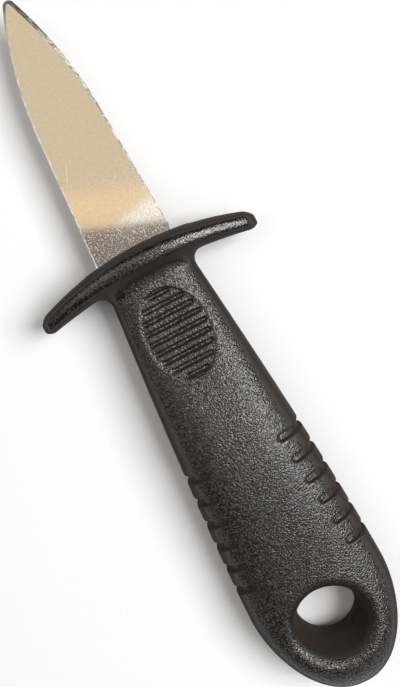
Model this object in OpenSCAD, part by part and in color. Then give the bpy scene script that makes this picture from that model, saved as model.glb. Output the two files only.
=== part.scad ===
/* [Blade] */
// Length of the blade in front of the guard
blade_len = 53.4; // [45:0.1:65]
// Width of the blade where it leaves the guard
blade_w = 17.1; // [14:0.1:19]
// Thickness of the stamped plate
blade_t = 2; // [1.6:0.1:2.6]
// Taper of each straight side, in degrees
side_taper = 3.4; // [2:0.1:5]
// Radius of the arc between each straight side and the tip
leaf_r = 81; // [70:1:110]
// Radius of the blunt tip
tip_r = 1.2; // [0.9:0.05:2]
// Width of the ground bevel round the tip and down the cutting side
bevel_w = 0.9; // [0.3:0.05:1.2]
// Distance from the tip at which the ground bevel has run out
bevel_run = 34; // [24:1:42]
// Width of the small chamfer on every other edge
chamfer_w = 0.3; // [0.1:0.05:0.5]
// Thickness left at the ground edge
edge_land = 0.4; // [0.2:0.05:0.8]
// Lean of the blade to the right of the handle's axis, in degrees
blade_lean = 0.7; // [-1:0.1:1]

/* [Tang] */
// Depth of the blade's shoulders inside the guard
shoulder_depth = 3.2; // [2:0.1:4.5]
// Length of the tang behind the shoulders
tang_len = 56; // [40:1:64]
// Width of the tang
tang_w = 11; // [9:0.5:12]
// Diameter of the holes that the moulding passes through
key_d = 5; // [3:0.1:6]
// Distance between those holes
key_pitch = 26; // [20:1:30]
// Gap between the tang and the moulding on every face
mould_gap = 0.02; // [0:0.01:0.1]

/* [Guard] */
// Width across the guard
guard_w = 48.8; // [44:0.1:56]
// Thickness of the guard along the knife, at its middle
guard_t = 5.8; // [5:0.1:7]
// Thickness of the guard along the knife, at its ends
guard_end_t = 3.8; // [3:0.1:5]
// Depth of the guard from face to face, at its middle
guard_depth = 16.6; // [15:0.1:19]
// Depth of the guard from face to face, at its ends
guard_end_depth = 6; // [4:0.1:8]
// Radius to which the guard is bowed forwards
guard_bow_r = 80; // [60:1:120]
// Radius of the fillet between the guard and the neck
neck_fillet = 2.6; // [1.5:0.1:3.2]

/* [Handle] */
// Length of the handle from the front of the guard to the butt
handle_len = 105.6; // [95:0.1:118]
// Width of the neck behind the guard
neck_w = 19; // [17:0.1:22]
// Thickness of the neck
neck_t = 11.4; // [10:0.1:14]
// Widest width, near the hanging hole
belly_w = 31.3; // [28:0.1:34]
// Length of the rounded butt behind the widest place
butt_len = 23.6; // [20:0.1:27]
// Greatest thickness
belly_t = 16.8; // [15:0.1:19]
// Distance of the greatest thickness from the front of the guard
belly_at = 48; // [42:1:60]
// Thickness beside the hanging hole
tail_t = 13.6; // [12:0.1:15]
// Length over which the butt rounds off in thickness
butt_round = 12; // [8:0.1:13]
// Squareness of the cross-section at the neck, where 2 is an ellipse
neck_power = 3.4; // [2.2:0.1:4]
// Squareness of the cross-section from the belly to the butt
belly_power = 2.7; // [2.2:0.1:3.4]

/* [Thumb patch] */
// Length of the oval patch
patch_len = 19; // [15:0.5:24]
// Width of the oval patch
patch_w = 13.4; // [10:0.2:14.5]
// Distance of the patch's middle from the front of the guard
patch_at = 19.2; // [18:0.1:26]
// Depth of the flat patch below the face at both of its ends
patch_depth = 0.6; // [0.4:0.05:1]
// Spacing of the slots across the patch
slot_pitch = 2.15; // [1.8:0.05:2.8]
// Width of each slot
slot_w = 1.05; // [0.7:0.05:1.3]
// Depth of each slot below the patch
slot_depth = 0.5; // [0.3:0.05:0.8]
// Distance from the end of each slot to the edge of the patch
slot_inset = 0.3; // [0.1:0.05:0.6]

/* [Side grooves] */
// Number of grooves on each side
groove_count = 6; // [3:1:7]
// Spacing of the side grooves
groove_pitch = 5.2; // [4:0.1:5.6]
// Width of each side groove
groove_w = 1.8; // [1.4:0.1:2.6]
// Depth of each side groove below the skin
groove_depth = 0.8; // [0.4:0.05:1.2]
// Reach of the first pair of side grooves in from the side
groove_reach = 5.6; // [3:0.1:6.5]
// Reach of the last pair of side grooves in from the side
groove_reach_rear = 5; // [3:0.1:6.5]
// Distance of the first side groove from the front of the guard
groove_from = 47.5; // [42:0.1:52]

/* [Hanging hole] */
// Diameter of the straight part of the hole
hole_d = 12.6; // [10:0.1:14]
// Length of the straight part of the hole
hole_land = 6.2; // [4:0.1:8]
// Radius that rounds each mouth of the hole
mouth_r = 3.4; // [2.5:0.1:4]
// Distance of the hole's axis from the end of the butt
hole_from_butt = 18.7; // [17.5:0.1:22]

/* [Hidden] */
$fn = 64;
steel = [0.78, 0.75, 0.7];
plastic = [0.09, 0.09, 0.09];
// How far a cutter stands out past the skin that it cuts
over = 4;
// Points round each cross-section of the handle and of the guard
handle_ring = 40;
guard_ring = 24;
// Last step of a rounded end, in degrees, which leaves a tiny flat instead of a point
end_angle = 88;
// Power of the curve by which the handle widens from its neck to its belly
swell_power = 1.3;
// Power of the butt's outline, where 2 is an ellipse
butt_power = 1.9;
// Distance over which the bevel fades out on the side that isn't ground
back_bevel_run = 4;
// Distance in front of the guard at which the leaning blade crosses the handle's axis
lean_at = 20;
// Distance from the shoulders to the first key hole
key_from = 12;
// How much further back the fillet starts than the guard is thick, because the guard is bowed
bow_allowance = 0.8;
// Share of the guard's depth that the fillet climbs
fillet_climb = 0.8;
// Length over which the guard's ends round off, as a share of their thickness
guard_end_share = 0.6;
// Number of steps in which each stretch of a shape is drawn
body_count = 20;
butt_count = 14;
guard_count = 12;
leaf_count = 14;
tip_count = 7;
// Places of the outline's points along the blade's straight sides, as shares of their length
straight_shares = [0.3, 0.55, 0.8];

// Height of the knife's middle plane, so that its thickest place touches the ground
rest_z = max(guard_depth, belly_t) / 2;
// The frame's zero lies halfway between the tip and the butt
middle_y = (blade_len - handle_len) / 2;
guard_half = guard_w / 2;
guard_rear = guard_t + bow_allowance;
neck_at = guard_rear + neck_fillet;
widest_at = handle_len - butt_len;
tail_at = handle_len - hole_from_butt;
bevel_drop = (blade_t - edge_land) / 2;

// Plane geometry of one side of the blade, as x from the axis and d from the tip
side_dir = [-sin(side_taper), -cos(side_taper)];
side_start = [blade_w / 2, blade_len];
tip_centre = [0, tip_r];
leaf_offset = side_start + leaf_r * [-cos(side_taper), sin(side_taper)] - tip_centre;
leaf_along = leaf_offset * side_dir;
leaf_root = leaf_along * leaf_along - leaf_offset * leaf_offset + pow(leaf_r - tip_r, 2);
straight_len = -leaf_along - sqrt(leaf_root);
leaf_centre = leaf_offset + tip_centre + straight_len * side_dir;
tip_angle = atan2(leaf_centre[1] - tip_r, -leaf_centre[0]);

function mix(a, b, t) = a + (b - a) * t;
function clamp01(t) = min(max(t, 0), 1);
function smooth(t) = clamp01(t) * clamp01(t) * (3 - 2 * clamp01(t));
function spow(v, p) = sign(v) * pow(abs(v), p);

// Height of a round fillet of radius r at distance d from the wall that it climbs
function fillet_rise(d, r) = d >= r ? 0 : r - sqrt(r * r - pow(r - max(d, 0), 2));

// Falls from 1 to 0 over the last length of something that ends in a round
function end_round(left, length, power) =
    left >= length ? 1 : pow(1 - pow(1 - left / length, power), 1 / power);

// Half width of the handle at distance s behind the front of the guard
function plan_half(s) =
    s >= widest_at ? belly_w / 2 * end_round(handle_len - s, butt_len, butt_power)
    : mix(neck_w, belly_w, 1 - pow(1 - clamp01((s - neck_at) / (widest_at - neck_at)), swell_power)) / 2
        + fillet_rise(s - guard_rear, neck_fillet);

// Half thickness of the handle at distance s behind the front of the guard
function thick_half(s) =
    let (front = mix(neck_t, belly_t, smooth((s - neck_at) / (belly_at - neck_at))))
    let (back = mix(belly_t, tail_t, smooth((s - belly_at) / (tail_at - belly_at))))
    let (guard_rise = (guard_depth - neck_t) / 2 * fillet_rise(s - guard_rear, neck_fillet) / neck_fillet)
    (s < belly_at ? front : back) / 2 * end_round(handle_len - s, butt_round, 2)
        + fillet_climb * guard_rise;

// Squareness of the handle's cross-section at distance s behind the front of the guard
function power_at(s) = mix(neck_power, belly_power, smooth((s - neck_at) / (belly_at - neck_at)));

// Rounded cross-section as a list of points
function section(half_w, half_h, power, count) =
    [for (k = [0 : count - 1]) let (a = 360 * k / count)
        [half_w * spow(cos(a), 2 / power), half_h * spow(sin(a), 2 / power)]];

// Cross-section of the handle at distance s, drawn in by inset
function handle_section(s, inset = 0) =
    section(plan_half(s) - inset, thick_half(s) - inset, power_at(s), handle_ring);

// Distances behind the front of the guard at which the handle's cross-section is drawn
fillet_steps = [for (a = [0 : 15 : 90]) guard_rear + neck_fillet * (1 - cos(a))];
body_steps = [for (k = [1 : body_count]) mix(neck_at, widest_at, k / body_count)];
butt_steps = [for (k = [1 : butt_count]) widest_at + butt_len * sin(end_angle * k / butt_count)];
handle_steps = concat([guard_t / 2], fillet_steps, body_steps, butt_steps);

// Triangles that close a ring of n points, laid across it from side to side
function cap(n) = concat(
    [for (k = [0 : n - 1]) if (k + 1 < n - 1 - k) [k, k + 1, n - 1 - k]],
    [for (k = [0 : n - 1]) if (k + 1 < n - 2 - k) [k + 1, n - 2 - k, n - 1 - k]]);

// Solid through a list of rings, each with the same number of points
module loft(rings) {
    n = len(rings[0]);
    last = len(rings) - 1;
    rear = last * n;
    points = [for (ring = rings) for (p = ring) p];
    sides = [for (i = [0 : last - 1]) for (k = [0 : n - 1])
        let (a = i * n + k, b = i * n + (k + 1) % n)
        each [[a, a + n, b + n], [a, b + n, b]]];
    ends = [for (t = cap(n)) each [t, [rear + t[2], rear + t[1], rear + t[0]]]];
    polyhedron(points, concat(ends, sides));
}

module body() {
    loft([for (s = handle_steps) [for (p = handle_section(s)) [p[0], -s, p[1]]]]);
}

function guard_middle(x) = guard_t / 2 + x * x / (2 * guard_bow_r);
function guard_fade(x) = pow(x / guard_half, 2);
function guard_end(x) = end_round(guard_half - abs(x), guard_end_t * guard_end_share, 2);

// Cross-section of the guard at distance x from the knife's axis
function guard_section(x) =
    [for (p = section(mix(guard_t, guard_end_t, guard_fade(x)) / 2 * guard_end(x),
                      mix(guard_depth, guard_end_depth, guard_fade(x)) / 2 * guard_end(x),
                      belly_power, guard_ring))
        [x, p[0] - guard_middle(x), p[1]]];

module guard() {
    loft([for (k = [-guard_count : guard_count])
        guard_section(guard_half * sin(end_angle * k / guard_count))]);
}

// Half outline of the leaf from the shoulder to the tip, each point with the angle it faces
leaf_side = concat(
    [for (d = concat([-shoulder_depth], straight_len * straight_shares))
        [side_start + d * side_dir, side_taper]],
    [for (k = [0 : leaf_count]) let (a = mix(side_taper, tip_angle, k / leaf_count))
        [leaf_centre + leaf_r * [cos(a), -sin(a)], a]],
    [for (k = [1 : tip_count]) let (a = mix(tip_angle, 90, k / tip_count))
        [tip_centre + tip_r * [cos(a), -sin(a)], a]]);

// How much of the full ground bevel is left at distance d from the tip
function ground(d, side) = 1 - smooth(d / (side > 0 ? bevel_run : back_bevel_run));

// One level of the blade's outline, drawn in by its bevel where inset is 1
function leaf_level(inset, face) =
    [for (side = [1, -1])
        let (last = len(leaf_side) - 1)
        for (k = side > 0 ? [0 : last] : [last - 1 : -1 : 0])
            let (p = leaf_side[k][0], a = leaf_side[k][1], g = ground(p[1], side))
            let (b = inset * mix(chamfer_w, min(bevel_w, tip_r - 0.1), g))
            let (z = blade_t / 2 - (1 - inset) * mix(chamfer_w, bevel_drop, g))
            [side * (p[0] - b * cos(a)), blade_len - p[1] - b * sin(a), face * z]];

module leaf() {
    loft([leaf_level(1, -1), leaf_level(0, -1), leaf_level(0, 1), leaf_level(1, 1)]);
}

// Places of the key holes along the tang
module at_keys() {
    for (k = [0, 1]) {
        translate([0, -shoulder_depth - key_from - k * key_pitch, 0])
            children();
    }
}

// Tang behind the shoulders, grown on every face by gap
module tang(gap) {
    plate = blade_t + 2 * gap;
    half = tang_w / 2 + gap;
    straight = tang_len - tang_w / 2;
    translate([-half, -shoulder_depth - straight, -plate / 2])
        cube([2 * half, straight + shoulder_depth / 2, plate]);
    translate([0, -shoulder_depth - straight, 0])
        cylinder(r = half, h = plate, center = true);
}

// Turns the blade, and the space for it, by the blade's lean
module leaning() {
    translate([0, lean_at, 0])
        rotate([0, 0, -blade_lean])
            translate([0, -lean_at, 0])
                children();
}

module blade() {
    color(steel) leaning() difference() {
        union() {
            leaf();
            tang(0);
        }
        at_keys()
            cylinder(d = key_d, h = blade_t + over, center = true);
    }
}

// Space that the blade's shoulders and tang take in the moulding
module tang_space() {
    rear = -shoulder_depth - mould_gap;
    slope = tan(side_taper);
    half = blade_w / 2 + mould_gap;
    linear_extrude(height = blade_t + 2 * mould_gap, center = true)
        polygon([
            [half - over * slope, over],
            [half - rear * slope, rear],
            [rear * slope - half, rear],
            [over * slope - half, over]
        ]);
    difference() {
        tang(mould_gap);
        at_keys()
            cylinder(d = key_d - 2 * mould_gap, h = blade_t + over, center = true);
    }
}

module oval() {
    polygon([for (a = [0 : 7.5 : 352.5]) [patch_w / 2 * cos(a), patch_len / 2 * sin(a)]]);
}

// Flat oval sunk into the upper face along its slope, with slots across it
module thumb_patch() {
    front = thick_half(patch_at - patch_len / 2);
    rear = thick_half(patch_at + patch_len / 2);
    count = round(patch_len / slot_pitch);
    translate([0, -patch_at, (front + rear) / 2 - patch_depth])
        rotate([atan((front - rear) / patch_len), 0, 0]) {
            linear_extrude(height = over)
                oval();
            for (k = [0 : count - 1]) {
                across = (k - (count - 1) / 2) * slot_pitch;
                half = patch_w / 2 * sqrt(1 - pow(2 * across / patch_len, 2)) - slot_inset;
                translate([-half, across - slot_w / 2, -slot_depth])
                    cube([2 * half, slot_w, over]);
            }
        }
}

// Pair of grooves that wrap round both sides of the handle at distance s
module side_groove(s, reach) {
    half = plan_half(s);
    inner = half - reach + groove_w / 2;
    tall = 2 * (thick_half(s) + over);
    translate([0, -s, 0])
        intersection() {
            for (side = [-1, 1]) {
                translate([side * inner, 0, 0])
                    cylinder(r = groove_w / 2, h = tall, center = true);
                translate([side * (inner + half) / 2, 0, 0])
                    cube([half - inner + over, groove_w, tall], center = true);
            }
            rotate([90, 0, 0])
                linear_extrude(height = groove_w + over, center = true)
                    difference() {
                        square([2 * (half + over), tall], center = true);
                        polygon(handle_section(s, groove_depth));
                    }
        }
}

// Straight hole on the axis with a rounded mouth on both faces
module hanging_hole() {
    bore = hole_d / 2;
    translate([0, -tail_at, 0]) {
        cylinder(r = bore, h = tail_t + 2 * over, center = true);
        for (face = [0, 1]) {
            mirror([0, 0, face])
                translate([0, 0, hole_land / 2])
                    rotate_extrude()
                        difference() {
                            square([bore + mouth_r, mouth_r + over]);
                            translate([bore + mouth_r, 0])
                                circle(r = mouth_r);
                        }
        }
    }
}

module handle() {
    color(plastic) difference() {
        union() {
            body();
            guard();
        }
        leaning()
            tang_space();
        hanging_hole();
        for (face = [0, 1]) {
            mirror([0, 0, face])
                thumb_patch();
        }
        for (k = [0 : groove_count - 1]) {
            side_groove(groove_from + k * groove_pitch,
                        mix(groove_reach, groove_reach_rear, k / (groove_count - 1)));
        }
    }
}

// Lays the knife flat with its middle over the frame's zero
module placed() {
    translate([0, -middle_y, rest_z])
        children();
}

placed() blade();
placed() handle();
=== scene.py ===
from math import atan2, radians

import bpy
import numpy as np
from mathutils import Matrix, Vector


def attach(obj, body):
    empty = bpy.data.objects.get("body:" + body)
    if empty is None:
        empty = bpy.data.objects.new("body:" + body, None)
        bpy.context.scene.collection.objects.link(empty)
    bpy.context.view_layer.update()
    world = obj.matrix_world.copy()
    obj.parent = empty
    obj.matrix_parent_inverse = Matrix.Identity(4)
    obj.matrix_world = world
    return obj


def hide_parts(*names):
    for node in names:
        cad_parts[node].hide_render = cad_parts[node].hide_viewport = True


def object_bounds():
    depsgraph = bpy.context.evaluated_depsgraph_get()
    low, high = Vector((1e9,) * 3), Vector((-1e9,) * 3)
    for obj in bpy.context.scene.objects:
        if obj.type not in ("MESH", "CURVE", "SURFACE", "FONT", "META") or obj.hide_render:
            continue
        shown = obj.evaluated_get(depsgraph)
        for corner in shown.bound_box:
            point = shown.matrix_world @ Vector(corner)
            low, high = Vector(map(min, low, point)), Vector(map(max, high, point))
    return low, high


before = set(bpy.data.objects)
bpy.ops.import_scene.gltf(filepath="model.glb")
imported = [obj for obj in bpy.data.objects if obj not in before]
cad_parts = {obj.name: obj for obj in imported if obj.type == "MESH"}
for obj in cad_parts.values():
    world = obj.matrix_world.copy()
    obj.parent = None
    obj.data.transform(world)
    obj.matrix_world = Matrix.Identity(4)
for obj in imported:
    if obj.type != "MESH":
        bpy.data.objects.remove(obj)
cad_low, cad_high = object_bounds()
MM = 0.001
TINY = 1e-6

# Sizes in millimetres, the same as the knife's construction has
BLADE_LEN = 53.4
GUARD_W = 48.8
GUARD_T = 5.8
GUARD_END_T = 3.8
GUARD_DEPTH = 16.6
GUARD_END_DEPTH = 6
GUARD_BOW_R = 80
GUARD_REAR_BOW = 0.8
NECK_FILLET = 2.6
HANDLE_LEN = 105.6
NECK_W = 19
NECK_T = 11.4
BELLY_W = 31.3
BUTT_LEN = 23.6
BUTT_POWER = 1.9
BUTT_ROUND = 12
BELLY_T = 16.8
BELLY_AT = 48
TAIL_T = 13.6
NECK_POWER = 3.4
BELLY_POWER = 2.7
SWELL_POWER = 1.3
PATCH_LEN = 19
PATCH_W = 13.4
PATCH_AT = 19.2
PATCH_EDGE_DEPTH = 0.15
PATCH_DISH = 0.4
PATCH_EDGE_BLEND = 0.5
SLOT_PITCH = 2.15
SLOT_W = 1.05
SLOT_DEPTH = 0.5
SLOT_INSET = 0.3
SLOT_EDGE_BLEND = 0.2
GROOVE_COUNT = 6
GROOVE_PITCH = 5.2
GROOVE_W = 1.8
GROOVE_DEPTH = 0.9
GROOVE_DRAFT = 0.25
GROOVE_CORNER = 0.15
GROOVE_EDGE_BLEND = 0.25
GROOVE_REACH = 5.6
GROOVE_REACH_LAST = 5
GROOVE_FROM = 47.5
HOLE_D = 12.6
HOLE_FROM_BUTT = 18.7
FUNNEL_SHIFT = 1.8
FUNNEL_FLARE = 2.1
FAR_FLARE = 0.5
MOUTH_BLEND = 2.8
LAND_RIDGE = 0.2
LAND_RIDGE_W = 0.25

GUARD_REAR = GUARD_T + GUARD_REAR_BOW
NECK_AT = GUARD_REAR + NECK_FILLET
WIDEST_AT = HANDLE_LEN - BUTT_LEN
TAIL_AT = HANDLE_LEN - HOLE_FROM_BUTT
GUARD_Y = cad_high.y / MM - BLADE_LEN
MIDDLE_Z = (cad_low.z + cad_high.z) / 2 / MM

# The guard's ends: length of their rounding over their thickness, and the part of the thickness left there
GUARD_END_ROUND = 0.6
GUARD_END_LEFT = 0.03
# Least half width and half thickness of the handle, so that the butt's end can be traced
LEAST_HALF = 0.25
# Stretches of the handle in which each feature is worked out, from the guard's front or its own middle
GUARD_STRETCH = (-3, 18)
GROOVE_STRETCH = 2.5
PATCH_STRETCH = 11
HOLE_STRETCH = 14
# How far behind the butt the last of them ends
PAST_BUTT = 2
# Distance from the mid-plane up to which the hanging hole widens, as a share of the half thickness
MOUTH_END = 1.1

# Grid on which the handle's skin is traced: low end, high end and step of each stretch of its axes
ACROSS = ((-25.5, 25.5, 0.22),)
ALONG = ((-1.5, 9, 0.2), (9, 30, 0.13), (30, 46, 0.25), (46, 77, 0.16), (77, 107, 0.22))
THROUGH = ((-9.3, 9.3, 0.25),)
COARSER = 1
# Times that the skin's points are moved onto it, and how far at most each time
SETTLE_PASSES = 2
SETTLE_MOST = 0.15
# A smooth blend of this many radii looks like a round fillet of one radius
BLEND_PER_RADIUS = 1.17

# Camera, worked out from the photograph's perspective
PHOTO_LONG_SIDE = 687
FOCAL_PIXELS = 900
SENSOR_MM = 36
CAMERA_FROM_TIP = Vector((14.67, -54.13, 183.13)) * MM
CAMERA_PITCH = -8.13
CAMERA_ROLL = -27.74
CAMERA_CLIP = 0.01

# Scratches on the blade: across and ahead of the guard, at one end and at the other
SCRATCHES = (
    (-1.9, 5.9, -0.6, 2.8),
    (-0.9, 3.0, 0.3, 0.7),
    (3.3, 2.6, 3.2, 0.8),
    (-6.9, 3.8, -6.8, 2.4),
    (-0.8, 8.3, -1.7, 6.0),
    (-3.9, 21.2, -6.4, 15.9),
    (1.0, 2.6, 1.9, 2.2),
)
SCRATCH_W = 0.25
# Where a scratch fades, from its middle to its outline
SCRATCH_TAPER = (0.4, 1.0)

# Steel: its two cloudy colours, and those of marks, of the ground bevel and of the bevel towards the tip,
# darkened there as a painted dark reflection
STEEL_DARK = (0.7, 0.635, 0.534)
STEEL_PALE = (0.74, 0.675, 0.566)
STEEL_MARKED = (1.0, 0.97, 0.93)
STEEL_GROUND = (0.95, 0.92, 0.88)
STEEL_BEVEL_SHADE = (0.25, 0.22, 0.2)
# Roughness of the flats and of the bevel, what marks add to it, and how much of their colour they show
STEEL_ROUGH = 0.045
BEVEL_ROUGH = 0.25
MARKS_ROUGH = 0.2
MARKS_PALE = 0.55
# Depth of the grinding in metres, and the scales of pits, clouds and grinding, in waves per metre
GRIND_DEPTH = 0.0003
PITS_SCALE = 3600.0
CLOUDS_SCALE = 1900.0
GRIND_SCALE = 900.0
# Values of the noise over which pits and clouds come in
PITS_RANGE = (0.53, 0.66)
CLOUDS_RANGE = (0.35, 0.65)
# Upward part of the normal up to which all is bevel, and from which none is
BEVEL_UPRIGHT = (0.9, 0.99)
# Places between which the blade's pits thin out, the share that is left, and where the bevel's painted dark
# reflection starts
PITS_THINNING = ((GUARD_Y + 5) * MM, (GUARD_Y + 20) * MM)
PITS_LEFT = 0.15
BEVEL_SHADE_FROM = (GUARD_Y + BLADE_LEN - 16) * MM

# Plastic: its colour on flat places; the warm brown on steep places, a painted reflection; and the pale
# grain tips, painted glints
BLACK = (0.006, 0.004, 0.003)
BROWN_SIDE_REFLECTION = (0.013, 0.0045, 0.0)
GRAIN_TIP_GLINT = (0.055, 0.052, 0.048)
# The grain's layers in waves per metre, the share of the coarser ones, and the depth of it all in metres
FINE_SCALE = 2600.0
COARSE_SCALE = 1100.0
CELLS_SCALE = 3600.0
COARSE_SHARE = 0.3
GRAIN_DEPTH = 0.00018
# Strength of the grain on the guard, in the thumb patch and on steep sides
GRAIN_ON_GUARD = 0.5
GRAIN_ON_PATCH = 0.8
GRAIN_ON_STEEP = 0.4
# Where it changes: along the handle, over the patch's rim as a share of its size, and with the slope
GUARD_GRAIN = ((GUARD_Y - 10) * MM, (GUARD_Y - 6) * MM)
PATCH_RIM = (0.96, 1.04)
GRAIN_UPRIGHT = (0.6, 0.92)
# Roughness of flat places and of steep ones, what tall grains add to it, and the plastic's reflectivity
PLASTIC_ROUGH = 0.15
STEEP_ROUGH = 1.0
UNEVEN_ROUGH = 0.15
PLASTIC_SPECULAR = 0.8
# Upward part of the normal over which the painted brown reflection gives way to black, roughness changes
# and the painted glints come in
SIDE_REFLECTION_UPRIGHT = (0.4, 0.85)
ROUGH_UPRIGHT = (0.5, 0.9)
GLINT_UPRIGHT = (0.8, 0.97)
# Heights of the finest grain over which its tips get painted glints, and over which it gets uneven
GLINT_GRAINS = (0.5, 0.7)
UNEVEN_GRAINS = (0.4, 0.65)

# Lamps: name, direction, size in metres and power in watts, all at one distance from the knife
WINDOW_SIDE = Vector((0.53, -0.05, 0.85))
LAMPS = (
    ("window", WINDOW_SIDE, (0.45, 0.5), 7.2),
    ("fill", Vector((-0.5, 0.3, 0.81)), (0.6, 0.6), 1.3),
    ("butt_fill", Vector((0.1, -0.57, 0.81)), (0.5, 0.5), 0.7),
)
LAMP_DISTANCE = 0.9
# Colours of the room away from the window and towards it, and the cosines between which they change
ROOM_DARK = (0.02, 0.02, 0.02)
ROOM_BRIGHT = (0.08, 0.08, 0.08)
ROOM_TURN = (0.1, 0.95)
# Pale ceiling, on a plane at height 1: the slope and softness of its straight edge through the zenith
CEILING_SLOPE = 0.37
CEILING_EDGE = 0.003
# Its centre, the distances from there over which it ends, and the least height that is put onto the plane
CEILING_CENTRE = (0.1, 0.2, 0)
CEILING_END = (0.3, 0.7)
LEAST_HEIGHT = 0.05
# The white wedge by the ceiling's edge, and the way from gold to tan behind it
WEDGE_SLOPE = 0.55
WEDGE_END = (0.045, 0.054)
GOLD_END = (0.03, 0.055)
CEILING_GOLD = (1.14, 0.93, 0.645)
CEILING_TAN = (0.88, 0.785, 0.635)
CEILING_WHITE = (1.42, 1.42, 1.42)
CEILING_SHADE = (0.28, 0.26, 0.27)
# Pale backdrop: its colour, and the heights, as sines, between which it ends
BACKDROP = (0.38, 0.38, 0.38)
BACKDROP_FADE = (0.16, 0.42)
# Floor, in metres: its size, and the distances from the knife between which it goes over into the backdrop
FLOOR_SIZE = 6
FLOOR_FADE = (0.3, 1.0)
# Its colour near the knife and far away, where it glows like the backdrop instead
FLOOR_NEAR = (0.955, 0.965, 0.985)
FLOOR_FAR = (0, 0, 0)
FLOOR_ROUGH = 0.9


def mix(a, b, t):
    return a + (b - a) * t


def smooth(t):
    t = np.clip(t, 0, 1)
    return t * t * (3 - 2 * t)


def end_round(left, length, power):
    """Falls from 1 to 0 over the last length of something that ends in a round."""
    t = np.clip(1 - left / length, 0, 1)
    return (1 - t ** power) ** (1 / power)


def plan_half(s):
    """Half width of the handle at distance s behind the front of the guard."""
    swell = 1 - (1 - np.clip((s - NECK_AT) / (WIDEST_AT - NECK_AT), 0, 1)) ** SWELL_POWER
    return mix(NECK_W, BELLY_W, swell) / 2 * end_round(HANDLE_LEN - s, BUTT_LEN, BUTT_POWER)


def thick_half(s):
    """Half thickness of the handle at distance s behind the front of the guard."""
    front = mix(NECK_T, BELLY_T, smooth((s - NECK_AT) / (BELLY_AT - NECK_AT)))
    back = mix(BELLY_T, TAIL_T, smooth((s - BELLY_AT) / (TAIL_AT - BELLY_AT)))
    return np.where(s < BELLY_AT, front, back) / 2 * end_round(HANDLE_LEN - s, BUTT_ROUND, 2)


def smooth_min(a, b, k):
    h = np.clip(1 - np.abs(a - b) / k, 0, 1)
    return np.minimum(a, b) - h * h * k / 4


def smooth_max(a, b, k):
    return -smooth_min(-a, -b, k)


def rounded_distance(a, b, power, place):
    """Distance from the skin where a and b, raised to power, add up to 1."""
    rho = (np.abs(a) ** power + np.abs(b) ** power) ** (1 / power)
    slope = np.gradient(rho, *[axis.ravel() for axis in place])
    return (rho - 1) / (np.sqrt(sum(g * g for g in slope)) + TINY)


def body_field(x, s, z):
    wide = np.maximum(plan_half(s), LEAST_HALF)
    thick = np.maximum(thick_half(s), LEAST_HALF)
    power = mix(NECK_POWER, BELLY_POWER, smooth((s - NECK_AT) / (BELLY_AT - NECK_AT)))
    field = rounded_distance(x / wide, z / thick, power, (x, s, z))
    return np.maximum(field, np.maximum(GUARD_T / 2 - s, s - HANDLE_LEN))


def guard_field(x, s, z):
    half = GUARD_W / 2
    fade = np.minimum(np.abs(x) / half, 1) ** 2
    end = np.maximum(end_round(half - np.abs(x), GUARD_END_T * GUARD_END_ROUND, 2), GUARD_END_LEFT)
    middle = GUARD_T / 2 + x * x / (2 * GUARD_BOW_R)
    thick = mix(GUARD_T, GUARD_END_T, fade) / 2 * end
    deep = mix(GUARD_DEPTH, GUARD_END_DEPTH, fade) / 2 * end
    field = rounded_distance((s - middle) / thick, z / deep, BELLY_POWER, (x, s, z))
    return np.maximum(field, np.abs(x) - half)


def flat_channel(across, depth, half_width, rounding):
    """Distance outside a channel with steep walls, a flat floor and rounded lower corners."""
    wide = np.maximum(across - half_width + rounding, 0)
    deep = np.maximum(depth + rounding, 0)
    inner = np.minimum(np.maximum(across - half_width + rounding, depth + rounding), 0)
    return np.hypot(wide, deep) + inner - rounding


def cut_side_groove(field, skin, x, s, at, reach):
    inner = float(plan_half(np.float32(at))) - reach + GROOVE_W / 2
    across = np.hypot(np.maximum(inner - np.abs(x), 0), s - at)
    slanted = (across - GROOVE_DRAFT * skin - GROOVE_W / 2) / np.hypot(1, GROOVE_DRAFT)
    groove = flat_channel(slanted, -skin - GROOVE_DEPTH, 0, GROOVE_CORNER)
    return smooth_max(field, -groove, GROOVE_EDGE_BLEND)


def cut_thumb_patch(field, skin, x, s):
    along = s - PATCH_AT
    rho = np.hypot(x / (PATCH_W / 2), along / (PATCH_LEN / 2)) + TINY
    slope = np.hypot(x / (PATCH_W / 2) ** 2, along / (PATCH_LEN / 2) ** 2) / rho + TINY
    oval = (rho - 1) / slope
    dish = -skin - PATCH_EDGE_DEPTH - PATCH_DISH * np.clip(1 - rho ** 2, 0, 1)
    field = smooth_max(field, -np.maximum(oval, dish), PATCH_EDGE_BLEND)
    last = round(PATCH_LEN / SLOT_PITCH) // 2
    slot = np.clip(np.round(along / SLOT_PITCH), -last, last) * SLOT_PITCH
    slot_half = PATCH_W / 2 * np.sqrt(1 - (slot / (PATCH_LEN / 2)) ** 2) - SLOT_INSET
    across = np.hypot(np.maximum(np.abs(x) - slot_half + SLOT_W / 2, 0), along - slot)
    radius = (SLOT_W ** 2 / 4 + SLOT_DEPTH ** 2) / (2 * SLOT_DEPTH)
    groove = np.hypot(across, dish + radius - SLOT_DEPTH) - radius
    return smooth_max(field, -groove, SLOT_EDGE_BLEND)


def cut_hanging_hole(field, x, s, z):
    near = np.clip(z / (TAIL_T / 2), 0, MOUTH_END)
    far = np.clip(-z / (TAIL_T / 2), 0, MOUTH_END)
    centre = TAIL_AT + FUNNEL_SHIFT * near
    radius = HOLE_D / 2 + FUNNEL_FLARE * near + FAR_FLARE * far
    wall = np.hypot(x, s - centre) - radius
    ridge = LAND_RIDGE * np.exp(-(z / LAND_RIDGE_W) ** 2)
    return smooth_max(field, ridge - wall, MOUTH_BLEND)


def part_of(s, low, high):
    """Slice of the grid along the handle between two distances."""
    return slice(*np.searchsorted(s.ravel(), (low, high)))


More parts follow.
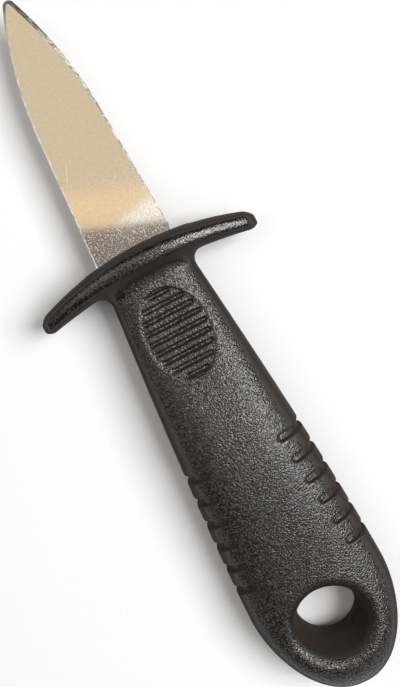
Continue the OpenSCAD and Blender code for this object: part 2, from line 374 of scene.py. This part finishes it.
def handle_field(x, s, z):
    skin = body_field(x, s, z)
    field = skin.copy()
    near = part_of(s, *GUARD_STRETCH)
    guard = guard_field(x, s[:, near], z)
    field[:, near] = smooth_min(field[:, near], guard, NECK_FILLET * BLEND_PER_RADIUS)
    for k in range(GROOVE_COUNT):
        at = GROOVE_FROM + k * GROOVE_PITCH
        near = part_of(s, at - GROOVE_STRETCH, at + GROOVE_STRETCH)
        reach = mix(GROOVE_REACH, GROOVE_REACH_LAST, k / (GROOVE_COUNT - 1))
        field[:, near] = cut_side_groove(field[:, near], skin[:, near], x, s[:, near], at, reach)
    near = part_of(s, PATCH_AT - PATCH_STRETCH, PATCH_AT + PATCH_STRETCH)
    field[:, near] = cut_thumb_patch(field[:, near], skin[:, near], x, s[:, near])
    near = part_of(s, TAIL_AT - HOLE_STRETCH, HANDLE_LEN + PAST_BUTT)
    field[:, near] = cut_hanging_hole(field[:, near], x, s[:, near], z)
    return field


def surface_net(field, axes):
    """Quads that follow the zero of a field, with one point in each grid cell that it crosses."""
    inside = field < 0
    corners = [(i, j, k) for i in (0, 1) for j in (0, 1) for k in (0, 1)]
    shape = [n - 1 for n in field.shape]

    def shifted(grid, c):
        return grid[tuple(slice(o, o + n) for o, n in zip(c, shape))]

    count = sum(shifted(inside, c).astype(np.int8) for c in corners)
    active = (count > 0) & (count < 8)
    cells = np.argwhere(active)
    value = {c: field[tuple((cells + c).T)] for c in corners}
    total = np.zeros((len(cells), 3))
    hits = np.zeros(len(cells))
    for a in corners:
        for axis in range(3):
            if a[axis]:
                continue
            b = tuple(1 if n == axis else a[n] for n in range(3))
            crossed = (value[a] < 0) != (value[b] < 0)
            t = np.where(crossed, value[a] / np.where(crossed, value[a] - value[b], 1), 0)
            point = np.tile(np.array(a, float), (len(cells), 1))
            point[:, axis] = t
            total += point * crossed[:, None]
            hits += crossed
    points = cells + total / hits[:, None]
    points = np.stack([np.interp(p, np.arange(len(a)), a) for p, a in zip(points.T, axes)], 1)
    index = np.full(shape, -1, np.int64)
    index[active] = np.arange(len(cells))
    quads = []
    for axis in range(3):
        u, v = (axis + 1) % 3, (axis + 2) % 3
        low = [slice(1, -1)] * 3
        high = [slice(1, -1)] * 3
        low[axis], high[axis] = slice(0, -1), slice(1, None)
        first, second = inside[tuple(low)], inside[tuple(high)]
        for flip, edge in ((False, first & ~second), (True, ~first & second)):
            at = np.argwhere(edge)
            at[:, u] += 1
            at[:, v] += 1
            back_u, back_v = np.eye(3, dtype=int)[u], np.eye(3, dtype=int)[v]
            ring = [at - back_u - back_v, at - back_v, at, at - back_u]
            quad = np.stack([index[tuple(r.T)] for r in ring], 1)
            quads.append(quad[:, ::-1] if flip else quad)
    return points, np.concatenate(quads)


def mesh_object(name, points, quads):
    mesh = bpy.data.meshes.new(name)
    mesh.vertices.add(len(points))
    mesh.vertices.foreach_set("co", points.astype(np.float32).ravel())
    mesh.loops.add(quads.size)
    mesh.loops.foreach_set("vertex_index", quads.astype(np.int32).ravel())
    mesh.polygons.add(len(quads))
    mesh.polygons.foreach_set("loop_start", np.arange(0, quads.size, 4, dtype=np.int32))
    mesh.polygons.foreach_set("use_smooth", np.ones(len(quads), bool))
    mesh.update(calc_edges=True)
    mesh.validate()
    piece = bpy.data.objects.new(name, mesh)
    bpy.context.scene.collection.objects.link(piece)
    return piece


def settle(points, field, axes):
    """Moves points along the field's slope until they lie on its zero."""
    slope = np.gradient(field, *axes)
    for _ in range(SETTLE_PASSES):
        cell = [np.clip(np.searchsorted(a, p) - 1, 0, len(a) - 2) for p, a in zip(points.T, axes)]
        low = np.stack([a[c] for a, c in zip(axes, cell)], 1)
        high = np.stack([a[c + 1] for a, c in zip(axes, cell)], 1)
        t = (points - low) / (high - low)
        cell = np.stack(cell, 1)
        value = np.zeros(len(points))
        normal = np.zeros((len(points), 3))
        for c in [(i, j, k) for i in (0, 1) for j in (0, 1) for k in (0, 1)]:
            weight = np.prod(np.where(c, t, 1 - t), 1)
            at = tuple((cell + c).T)
            value += weight * field[at]
            normal += weight[:, None] * np.stack([g[at] for g in slope], 1)
        move = (value / (np.sum(normal ** 2, 1) + TINY))[:, None] * normal
        points = points - np.clip(move, -SETTLE_MOST, SETTLE_MOST)
    return points


def spaced(stretches):
    """Places along an axis of the grid, with a step of its own in each stretch."""
    places = []
    for low, high, step in stretches:
        count = round((high - low) / step / COARSER)
        places.append(np.linspace(low, high, count, endpoint=False))
    return np.append(np.concatenate(places), high).astype(np.float32)


def make_handle():
    axes = [spaced(stretches) for stretches in (ACROSS, ALONG, THROUGH)]
    x, s, z = axes[0][:, None, None], axes[1][None, :, None], axes[2][None, None, :]
    field = handle_field(x, s, z)
    points, quads = surface_net(field, axes)
    points = settle(points, field, axes)
    placed = np.stack([points[:, 0], GUARD_Y - points[:, 1], MIDDLE_Z + points[:, 2]], 1) * MM
    return mesh_object("handle_moulding", placed, quads[:, ::-1])


def make_camera():
    data = bpy.data.cameras.new("camera")
    data.sensor_width = SENSOR_MM
    data.lens = FOCAL_PIXELS * SENSOR_MM / PHOTO_LONG_SIDE
    data.clip_start = CAMERA_CLIP
    camera = bpy.data.objects.new("camera", data)
    camera.location = Vector((0, cad_high.y, MIDDLE_Z * MM)) + CAMERA_FROM_TIP
    camera.rotation_euler = (radians(CAMERA_PITCH), 0, radians(CAMERA_ROLL))
    bpy.context.scene.collection.objects.link(camera)
    bpy.context.scene.camera = camera


class Nodes:
    """Short ways to add and join the nodes of a material or a world."""

    def __init__(self, owner, shader="Principled BSDF"):
        owner.use_nodes = True
        self.owner = owner
        self.tree = owner.node_tree
        self.shader = self.tree.nodes[shader]

    def add(self, kind, **inputs):
        node = self.tree.nodes.new("ShaderNode" + kind)
        for key, value in inputs.items():
            self.put(node, key.replace("_", " "), value)
        return node

    def put(self, node, key, value):
        socket = node.inputs[key]
        if isinstance(value, bpy.types.NodeSocket):
            self.tree.links.new(value, socket)
        else:
            socket.default_value = value

    def set(self, **inputs):
        for key, value in inputs.items():
            self.put(self.shader, key.replace("_", " "), value)

    def math(self, operation, a, b=0.0):
        node = self.add("Math")
        node.operation = operation
        self.put(node, 0, a)
        self.put(node, 1, b)
        return node.outputs[0]

    def spread(self, value, low, high, to_low=0.0, to_high=1.0):
        """Eases from to_low to to_high while value goes from low to high."""
        node = self.add("MapRange", Value=value, From_Min=low, From_Max=high, To_Min=to_low, To_Max=to_high)
        node.interpolation_type = "SMOOTHSTEP"
        return node.outputs["Result"]

    def mix(self, factor, a, b):
        node = self.add("Mix")
        node.data_type = "RGBA"
        for socket, value in (("Factor_Float", factor), ("A_Color", a), ("B_Color", b)):
            target = next(s for s in node.inputs if s.identifier == socket)
            if isinstance(value, bpy.types.NodeSocket):
                self.tree.links.new(value, target)
            else:
                target.default_value = value if socket == "Factor_Float" else (*value, 1)
        return next(s for s in node.outputs if s.identifier == "Result_Color")

    def ramp(self, factor, stops):
        """Goes evenly from the first stop's colour to the second's."""
        node = self.add("ValToRGB", Fac=factor)
        for element, (at, colour) in zip(node.color_ramp.elements, stops):
            element.position = at
            element.color = (*colour, 1)
        return node.outputs["Color"]

    def seen(self):
        """1 for what the camera sees, also mirrored or through glass, and 0 for what lights things."""
        path = self.add("LightPath").outputs
        mirrored = self.math("MAXIMUM", path["Is Glossy Ray"], path["Is Transmission Ray"])
        return self.math("MAXIMUM", path["Is Camera Ray"], mirrored)


def plastic_material():
    """Spark-eroded black plastic, with softer grain on the guard, in the thumb patch and on steep sides."""
    n = Nodes(bpy.data.materials.new("black_plastic"))
    where = n.add("TexCoord").outputs["Object"]
    fine = n.add("TexNoise", Vector=where, Scale=FINE_SCALE, Detail=1.0).outputs["Fac"]
    coarse = n.add("TexNoise", Vector=where, Scale=COARSE_SCALE, Detail=2.0).outputs["Fac"]
    cells = n.add("TexVoronoi", Vector=where, Scale=CELLS_SCALE).outputs["Distance"]
    height = n.math("ADD", fine, n.math("MULTIPLY", n.math("SUBTRACT", coarse, cells), COARSE_SHARE))
    facing = n.add("SeparateXYZ", Vector=n.add("NewGeometry").outputs["Normal"])
    upright = n.math("ABSOLUTE", facing.outputs["Z"])
    to_oval = (2 / PATCH_W / MM, 2 / PATCH_LEN / MM, 0)
    centre = (0, (PATCH_AT - GUARD_Y) * MM * to_oval[1], 0)
    from_patch = n.add("Mapping", Vector=where, Location=centre, Scale=to_oval).outputs["Vector"]
    oval = n.add("VectorMath", Vector=from_patch)
    oval.operation = "LENGTH"
    along = n.add("SeparateXYZ", Vector=where).outputs["Y"]
    on_guard = n.spread(along, *GUARD_GRAIN, 1.0, GRAIN_ON_GUARD)
    on_patch = n.spread(oval.outputs["Value"], *PATCH_RIM, GRAIN_ON_PATCH, 1.0)
    on_sides = n.spread(upright, *GRAIN_UPRIGHT, GRAIN_ON_STEEP, 1.0)
    strength = n.math("MULTIPLY", n.math("MULTIPLY", on_guard, on_patch), on_sides)
    bump = n.add("Bump", Height=height, Strength=strength, Distance=GRAIN_DEPTH)
    # Painted reflection: steep sides are coloured warm brown, standing in for the brown surroundings they
    # reflect
    black = n.mix(n.spread(upright, *SIDE_REFLECTION_UPRIGHT), BROWN_SIDE_REFLECTION, BLACK)
    # Painted glints: the tallest grains on the flat faces are coloured pale, standing in for their sparkle
    painted_glints = n.math("MULTIPLY", n.spread(fine, *GLINT_GRAINS), n.spread(upright, *GLINT_UPRIGHT))
    uneven = n.math("MULTIPLY", n.spread(fine, *UNEVEN_GRAINS, 0.0, UNEVEN_ROUGH), on_sides)
    rough = n.math("ADD", n.spread(upright, *ROUGH_UPRIGHT, STEEP_ROUGH, PLASTIC_ROUGH), uneven)
    n.set(Base_Color=n.mix(painted_glints, black, GRAIN_TIP_GLINT), Roughness=rough)
    n.set(Specular_IOR_Level=PLASTIC_SPECULAR, Normal=bump.outputs["Normal"])
    return n.owner


def scratch_mask(n, where, x0, y0, x1, y1):
    """Thin scratch with tapered ends, between two places ahead of the guard."""
    middle = ((x0 + x1) / 2 * MM, (GUARD_Y + (y0 + y1) / 2) * MM, 0)
    half_size = (Vector((x1 - x0, y1 - y0)).length / 2 * MM, SCRATCH_W / 2 * MM, 1)
    turn = (0, 0, atan2(y1 - y0, x1 - x0))
    place = n.add("Mapping", Vector=where, Location=middle, Rotation=turn, Scale=half_size)
    place.vector_type = "TEXTURE"
    away = n.add("VectorMath", Vector=place.outputs["Vector"])
    away.operation = "LENGTH"
    return n.spread(away.outputs["Value"], *SCRATCH_TAPER, 1.0, 0.0)


def steel_material():
    """Stamped stainless steel: nearly a mirror, pitted near the guard, scratched, with a ground bevel."""
    n = Nodes(bpy.data.materials.new("satin_steel"))
    where = n.add("TexCoord").outputs["Object"]
    along = n.add("SeparateXYZ", Vector=where).outputs["Y"]
    facing = n.add("SeparateXYZ", Vector=n.add("NewGeometry").outputs["Normal"])
    bevel = n.spread(n.math("ABSOLUTE", facing.outputs["Z"]), *BEVEL_UPRIGHT, 1.0, 0.0)
    specks = n.add("TexNoise", Vector=where, Scale=PITS_SCALE, Detail=1.0).outputs["Fac"]
    pits = n.spread(specks, *PITS_RANGE)
    marks = n.math("MULTIPLY", pits, n.spread(along, *PITS_THINNING, 1.0, PITS_LEFT))
    for ends in SCRATCHES:
        marks = n.math("MAXIMUM", marks, scratch_mask(n, where, *ends))
    rough = n.spread(bevel, 0.0, 1.0, STEEL_ROUGH, BEVEL_ROUGH)
    rough = n.math("ADD", rough, n.math("MULTIPLY", marks, MARKS_ROUGH))
    clouds = n.add("TexNoise", Vector=where, Scale=CLOUDS_SCALE, Detail=3.0).outputs["Fac"]
    colour = n.mix(n.spread(clouds, *CLOUDS_RANGE), STEEL_DARK, STEEL_PALE)
    colour = n.mix(n.math("MULTIPLY", marks, MARKS_PALE), colour, STEEL_MARKED)
    # Painted reflection: the bevel is coloured dark towards the tip, standing in for the dark room it
    # reflects
    ground = n.mix(n.spread(along, BEVEL_SHADE_FROM, cad_high.y), STEEL_GROUND, STEEL_BEVEL_SHADE)
    colour = n.mix(bevel, colour, ground)
    cuts = n.add("TexNoise", Vector=where, Scale=GRIND_SCALE, Detail=2.0).outputs["Fac"]
    bump = n.add("Bump", Height=cuts, Strength=bevel, Distance=GRIND_DEPTH)
    n.set(Base_Color=colour, Metallic=1.0, Roughness=rough, Normal=bump.outputs["Normal"])
    return n.owner


def floor_material():
    """White floor, which goes over into the pale backdrop away from the knife."""
    n = Nodes(bpy.data.materials.new("white_floor"))
    away = n.add("VectorMath", Vector=n.add("TexCoord").outputs["Object"])
    away.operation = "LENGTH"
    far = n.spread(away.outputs["Value"], *FLOOR_FADE)
    n.set(Base_Color=n.mix(far, FLOOR_NEAR, FLOOR_FAR), Roughness=FLOOR_ROUGH)
    n.set(Emission_Color=(*BACKDROP, 1), Emission_Strength=n.math("MULTIPLY", far, n.seen()))
    return n.owner


def add_lamp(name, side, size, power):
    """Rectangular lamp on one side of the knife, aimed at its middle."""
    data = bpy.data.lights.new(name, "AREA")
    data.shape = "RECTANGLE"
    data.size, data.size_y = size
    data.energy = power
    lamp = bpy.data.objects.new(name, data)
    lamp.location = side * LAMP_DISTANCE
    lamp.rotation_euler = (-lamp.location).to_track_quat("-Z", "Y").to_euler()
    bpy.context.scene.collection.objects.link(lamp)


def make_floor():
    bpy.ops.mesh.primitive_plane_add(size=FLOOR_SIZE)
    floor = bpy.context.object
    floor.name = "floor"
    floor.data.materials.append(floor_material())


def make_world():
    """Dim room, brighter towards its window, with a pale ceiling that ends in a straight edge."""
    world = bpy.data.worlds.new("world")
    n = Nodes(world, "Background")
    toward = n.add("TexCoord").outputs["Generated"]
    side = n.add("VectorMath", Vector=toward)
    side.operation = "DOT_PRODUCT"
    side.inputs[1].default_value = WINDOW_SIDE.normalized()
    room = n.ramp(side.outputs["Value"], zip(ROOM_TURN, (ROOM_DARK, ROOM_BRIGHT)))
    axis = n.add("SeparateXYZ", Vector=toward)
    height = n.math("MAXIMUM", axis.outputs["Z"], LEAST_HEIGHT)
    across = n.math("DIVIDE", axis.outputs["X"], height)
    along = n.math("DIVIDE", axis.outputs["Y"], height)
    past_edge = n.math("ADD", along, n.math("MULTIPLY", across, CEILING_SLOPE))
    past_wedge = n.math("SUBTRACT", past_edge, n.math("MULTIPLY", across, WEDGE_SLOPE))
    ceiling = n.mix(n.spread(past_edge, *GOLD_END), CEILING_GOLD, CEILING_TAN)
    ceiling = n.mix(n.spread(past_wedge, *WEDGE_END, 1.0, 0.0), ceiling, CEILING_WHITE)
    ceiling = n.mix(n.spread(past_edge, -CEILING_EDGE, CEILING_EDGE), CEILING_SHADE, ceiling)
    reach = n.add("VectorMath", Vector=n.add("CombineXYZ", X=across, Y=along).outputs["Vector"])
    reach.operation = "DISTANCE"
    reach.inputs[1].default_value = CEILING_CENTRE
    inside = n.mix(n.spread(reach.outputs["Value"], *CEILING_END), ceiling, room)
    backdrop = n.math("MULTIPLY", n.spread(axis.outputs["Z"], *BACKDROP_FADE, 1.0, 0.0), n.seen())
    n.set(Color=n.mix(backdrop, inside, BACKDROP))
    bpy.context.scene.world = world


make_camera()
handle = make_handle()
handle.data.materials.append(plastic_material())
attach(handle, "root")
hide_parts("handle")

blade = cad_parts["blade"]
blade.data.materials.clear()
blade.data.materials.append(steel_material())

make_floor()
make_world()
for lamp in LAMPS:
    add_lamp(*lamp)
bpy.context.scene.view_settings.view_transform = "Standard"
